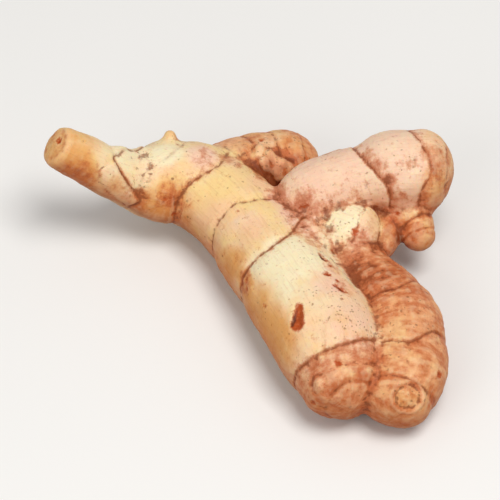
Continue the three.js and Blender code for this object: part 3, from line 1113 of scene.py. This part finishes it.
# Brown mottling, partly painted shade: the crease and broad hollow shares darken the skin where limbs meet
# and in hollows. The fibres and fine noise add streaks and flecks, and the last layer darkens the fine
# hollows to umber.
STAIN_AND_SHADE_LAYERS = [
    (
        {
            "mottle": 1.0,
            "crease": 0.45,
            "hollow_broad": 0.22,
            "blotch": 1.7,
            "patchy": 0.7,
            "banded": 0.9,
            "fine": 0.4,
        },
        [(0.3, 0.8, 0.6, RUSSET), (0.66, 1.08, 0.62, SIENNA), (1.0, 1.4, 0.7, UMBER)],
    ),
    ({"fibres": 1.0}, [(0.0, 0.22, 0.16, SIENNA)]),
    ({"fine": 1.0}, [(0.04, 0.26, 0.2, SIENNA)]),
    ({"hollow_fine": 1.0, "fine": 1.0}, [(0.35, 1.2, 0.7, UMBER)]),
]
RING_PARTS = {"past_ring": 1.0, "fine": 1.1}
RING_TINTS = {"halo": (0.2, 1.5, 0.45, SIENNA), "line": (0.05, 0.6, 0.8, INK)}
SCAR_LAYERS = [
    ({"hollow_fine": -1.0}, [(0.3, 1.2, 0.18, CREAM)]),
    ({"scar": 1.0, "fine": 1.3, "blotch": 1.3}, [(0.15, 0.9, 0.95, SCAR), (0.85, 1.3, 0.3, UMBER)]),
    ({"pit": 1.0, "fine": 0.5}, [(0.3, 1.0, 0.9, PIT)]),
]

# Small brown dots in two sizes: the space between them, their radius as a share of it, and a seed.
DOTS = [(2.3, 0.2, 31.0), (1.2, 0.24, 57.0)]
DOT_EDGE = (0.7, 1.3)  # from where to where a dot fades, as shares of its radius
DOT_DRIFT_SCALE = 0.8  # how fine the noise is that scatters the dots
DOT_DRIFT = 1.2  # how far it moves them
DOT_CHANCE = 0.7  # the share of them that is there where they are thickest
DOT_CHANCE_SLOPE = (-0.12, 0.02)
DOT_SHARE = 0.6

BUMP_PARTS = {"fibres": 0.14, "fine": 0.18, "blotch": 0.2, "line": -0.15}
BUMP_STRENGTH = 0.7
BUMP_HEIGHT = 1.0 * MM
ROUGHNESS = 0.45
ROUGHNESS_SLOPE = (-0.2, 0.3)  # from where to where in the fine noise the skin is rougher
ROUGHNESS_RISE = 0.2
SHINE = 0.22
GLOW = 0.25  # how much of the light goes through the skin and spreads under it
GLOW_COLOURS = (1.0, 0.42, 0.18)  # how far red, green and blue light spread, as shares of the reach
GLOW_REACH = 2.2 * MM


class SkinLook:
    """The skin's colour, built up layer by layer from noises and from the numbers on the mesh."""

    def __init__(self, n):
        self.n = n
        self.place = n.stretch(n.add("ShaderNodeTexCoord").outputs["Object"], (1 / MM,) * 3)
        grounds = {"space": self.place, "skin": n.vector("lay")}
        self.values = {name: n.value(name) for name in MESH_NUMBERS}
        for name, (ground, stretch, *kind) in NOISES.items():
            self.values[name] = n.noise(n.stretch(grounds[ground], stretch), *kind)
        self.colour = n.mix(n.slope(self.values["broad"], *PEACH_SLOPE), STRAW, PEACH)

    def total(self, parts):
        """The named values added up, each times its share."""
        terms = [self.n.scaled(self.values[name], share) for name, share in parts.items()]
        total = terms[0]
        for term in terms[1:]:
            total = self.n.math("ADD", total, term)
        return total

    def add_layers(self, layers, kept=1.0):
        """Each layer's tints laid on, as far as they are kept."""
        for parts, tints in layers:
            value = self.total(parts)
            for low, high, strength, tint in tints:
                share = self.n.scaled(self.n.slope(value, low, high), strength)
                self.colour = self.n.mix(self.n.scaled(share, kept), self.colour, tint)

    def add_tones(self):
        """Pink, cream, amber and russet, by the tones along each limb."""
        n = self.n
        self.add_layers(TONE_LAYERS)
        rust = n.mix(n.slope(self.total(RUST_PARTS), *RUST_SLOPE), RUSSET_LIGHT, RUSSET)
        self.add_layers([(RUSSET_PARTS, [(*TONE_SLOPE, RUSSET_SHARE, rust)])])

    def paint_shade_on_lower_sides(self):
        """Painted shade: lower sides tinted browner, standing in for the shade and warm bounced light
        between neighbours, fading out underneath.
        """
        n = self.n
        facing_down = n.scaled(n.slope(self.values["below"], *UNDERSIDE_SLOPE), UNDERSIDE_FADE)
        self.add_layers(PAINTED_SHADE_LAYERS, kept=n.math("SUBTRACT", 1.0, facing_down))

    def draw_rings(self):
        """A soft halo and a brown line along each ring, which the bump reads too."""
        n = self.n
        away = n.math("ABSOLUTE", self.total(RING_PARTS))
        for name, (low, high, strength, tint) in RING_TINTS.items():
            self.values[name] = n.math("MULTIPLY", n.falling(away, low, high), self.values["ink"])
            self.colour = n.mix(n.scaled(self.values[name], strength), self.colour, tint)

    def dots(self, spacing, radius, seed):
        """One size of small brown dots, scattered where the freckles are."""
        n = self.n
        drift = n.add("ShaderNodeTexNoise", Vector=self.place, Scale=DOT_DRIFT_SCALE).outputs["Color"]
        moved = n.shift(self.place, n.stretch(drift, (DOT_DRIFT,) * 3))
        moved = n.shift(moved, (seed,) * 3)
        cells = n.add("ShaderNodeTexVoronoi", Vector=moved, Scale=1 / spacing)
        speck = n.falling(cells.outputs["Distance"], *(radius * edge for edge in DOT_EDGE))
        chance = n.add("ShaderNodeSeparateColor", Color=cells.outputs["Color"]).outputs["Red"]
        margin = n.math("SUBTRACT", n.scaled(self.values["freckle"], DOT_CHANCE), chance)
        return n.math("MULTIPLY", speck, n.slope(margin, *DOT_CHANCE_SLOPE))

    def add_dots(self):
        """Both sizes of dots laid on."""
        n = self.n
        large, small = (self.dots(*dot) for dot in DOTS)
        self.colour = n.mix(n.scaled(n.math("MAXIMUM", large, small), DOT_SHARE), self.colour, DOT)

    def bump(self):
        """The direction that the skin faces, with its finest bumps."""
        height = self.total(BUMP_PARTS)
        bump = self.n.add("ShaderNodeBump", Strength=BUMP_STRENGTH, Distance=BUMP_HEIGHT, Height=height)
        return bump.outputs["Normal"]

    def roughness(self):
        """How dull the skin is."""
        n = self.n
        rise = n.scaled(n.slope(self.values["fine"], *ROUGHNESS_SLOPE), ROUGHNESS_RISE)
        return n.math("ADD", ROUGHNESS, rise)


def skin_material():
    """Fresh rhizome skin: thin and waxy, straw to pink and russet, with rings, scars, fibres and dots."""
    material = bpy.data.materials.new("rhizome_skin")
    n = Nodes(material)
    look = SkinLook(n)
    look.add_tones()
    look.paint_shade_on_lower_sides()
    look.add_layers(STAIN_AND_SHADE_LAYERS)
    look.draw_rings()
    look.add_layers(SCAR_LAYERS)
    look.add_dots()
    shader = n.add(
        "ShaderNodeBsdfPrincipled",
        Base_Color=look.colour,
        Roughness=look.roughness(),
        Normal=look.bump(),
        Specular_IOR_Level=SHINE,
        Subsurface_Weight=GLOW,
        Subsurface_Radius=GLOW_COLOURS,
        Subsurface_Scale=GLOW_REACH,
    )
    n.show("ShaderNodeOutputMaterial", shader)
    return material


def make_skin():
    """The whole rhizome's surface as one piece."""
    shreds = [shred_tube(knots) for knots in SHREDS]
    mesh = base_mesh(shreds)
    points = settle(read_points(mesh), shreds)
    points, out, numbers, lay = dress(points, shreds)
    numbers.update(hollows(mesh, points, out))
    write_mesh(mesh, points, numbers, lay)
    mesh.name = "rhizome_skin"
    mesh.materials.clear()
    mesh.materials.append(skin_material())
    skin = bpy.data.objects.new("rhizome_skin", mesh)
    bpy.context.scene.collection.objects.link(skin)
    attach(skin, "root")
    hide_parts("rhizome")


FLOOR_SIDE = 6.0
FLOOR_DROP = 0.0001  # how far the floor lies below the hand, so that the two don't share a face
FLOOR_SEEN = linear("f4f3f1")
FLOOR_BOUNCE = linear("b8a591")  # the floor's colour for the light that it throws back up
SKY_LIGHT = 0.36  # how strongly the white surrounding lights the scene
WHITE = (1, 1, 1, 1)

# The soft square lamps: name, place, what each is aimed at, side, power and colour.
LAMPS = [
    ("key", (0.30, -0.32, 1.24), (0, 0, 0.01), 0.6, 10.8, (1.0, 0.985, 0.96)),
    ("fill", (-0.5, -0.7, 0.55), (0, 0, 0.02), 0.6, 2.0, (1.0, 0.98, 0.96)),
]

CAMERA_RISE = math.radians(48)
CAMERA_FAR = 1.1
CAMERA_SENSOR = 36.0
VIEW_WIDTH = 0.158  # how much of the floor's width the picture takes in at the rhizome


def make_floor():
    """A plain pale floor, darker and warmer to the light that it throws back up."""
    material = bpy.data.materials.new("floor")
    n = Nodes(material)
    shader = n.add("ShaderNodeBsdfDiffuse", Color=n.mix(n.seen(), FLOOR_BOUNCE, FLOOR_SEEN))
    n.show("ShaderNodeOutputMaterial", shader)
    shape = bmesh.new()
    bmesh.ops.create_grid(shape, x_segments=1, y_segments=1, size=FLOOR_SIDE / 2)
    mesh = bpy.data.meshes.new("floor")
    shape.to_mesh(mesh)
    shape.free()
    mesh.materials.append(material)
    floor = bpy.data.objects.new("floor", mesh)
    floor.location = (0, 0, -FLOOR_DROP)
    bpy.context.scene.collection.objects.link(floor)


def make_lamp(name, place, target, side, power, colour):
    """A soft square lamp aimed at a point."""
    data = bpy.data.lights.new(name, "AREA")
    data.shape = "SQUARE"
    data.size = side
    data.energy = power
    data.color = colour
    lamp = bpy.data.objects.new(name, data)
    lamp.location = place
    lamp.rotation_euler = (Vector(target) - Vector(place)).to_track_quat("-Z", "Y").to_euler()
    bpy.context.scene.collection.objects.link(lamp)


def make_world():
    """An even surrounding: plain white where the camera sees it, softer where it only lights."""
    world = bpy.data.worlds.new("studio")
    bpy.context.scene.world = world
    n = Nodes(world)
    strength = n.math("ADD", n.scaled(n.seen(), 1 - SKY_LIGHT), SKY_LIGHT)
    n.show("ShaderNodeOutputWorld", n.add("ShaderNodeBackground", Color=WHITE, Strength=strength))


def make_camera():
    """A long lens looking down on the rhizome from the front."""
    middle = (cad_low + cad_high) / 2
    away = Vector((0, -math.cos(CAMERA_RISE), math.sin(CAMERA_RISE)))
    data = bpy.data.cameras.new("camera")
    data.sensor_width = CAMERA_SENSOR
    data.lens = CAMERA_SENSOR * CAMERA_FAR / VIEW_WIDTH
    camera = bpy.data.objects.new("camera", data)
    camera.location = middle + CAMERA_FAR * away
    camera.rotation_euler = (-away).to_track_quat("-Z", "Y").to_euler()
    bpy.context.scene.collection.objects.link(camera)
    bpy.context.scene.camera = camera


make_camera()
make_floor()
make_world()
for lamp in LAMPS:
    make_lamp(*lamp)
make_skin()
bpy.context.scene.view_settings.view_transform = "Standard"
